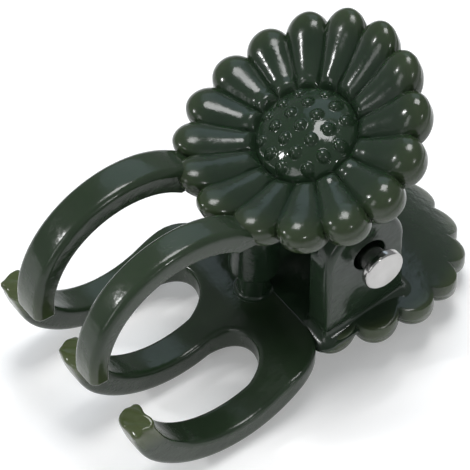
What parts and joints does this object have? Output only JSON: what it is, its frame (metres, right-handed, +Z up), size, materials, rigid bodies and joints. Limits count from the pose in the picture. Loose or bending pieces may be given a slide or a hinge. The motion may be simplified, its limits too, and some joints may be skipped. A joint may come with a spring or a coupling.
{
  "type": "orchid clip",
  "caption": "Small sprung plant clip with two daisy-shaped finger pads, a headed hinge pin and curved interlacing fingers that close round a flower stem and its stake.",
  "frame": {"origin": "middle of the footprint, on the surface the clip lies on", "axes": "+X from the fingers to the daisy pads, +Y along the hinge pin away from its head, +Z up"},
  "size_m": [0.0336, 0.0192, 0.0228],
  "materials": {
    "green_plastic": "glossy moulded dark green",
    "pin_steel": "polished bright steel",
    "spring_steel": "drawn steel wire"
  },
  "bodies": {
    "lower_body": {"lower_jaw": "green_plastic", "hinge_pin": "pin_steel", "torsion_spring": "spring_steel"},
    "upper_body": {"upper_jaw": "green_plastic"}
  },
  "joints": [
    {"name": "jaw_hinge", "type": "hinge", "parent": "lower_body", "child": "upper_body", "pos_m": [0.00535, 0, 0.01057], "axis": [0, 1, 0], "range_deg": [0, 45], "stiffness_Nm_per_rad": 0.02, "springref_deg": -34.38, "deforming": ["torsion_spring"]}
  ]
}
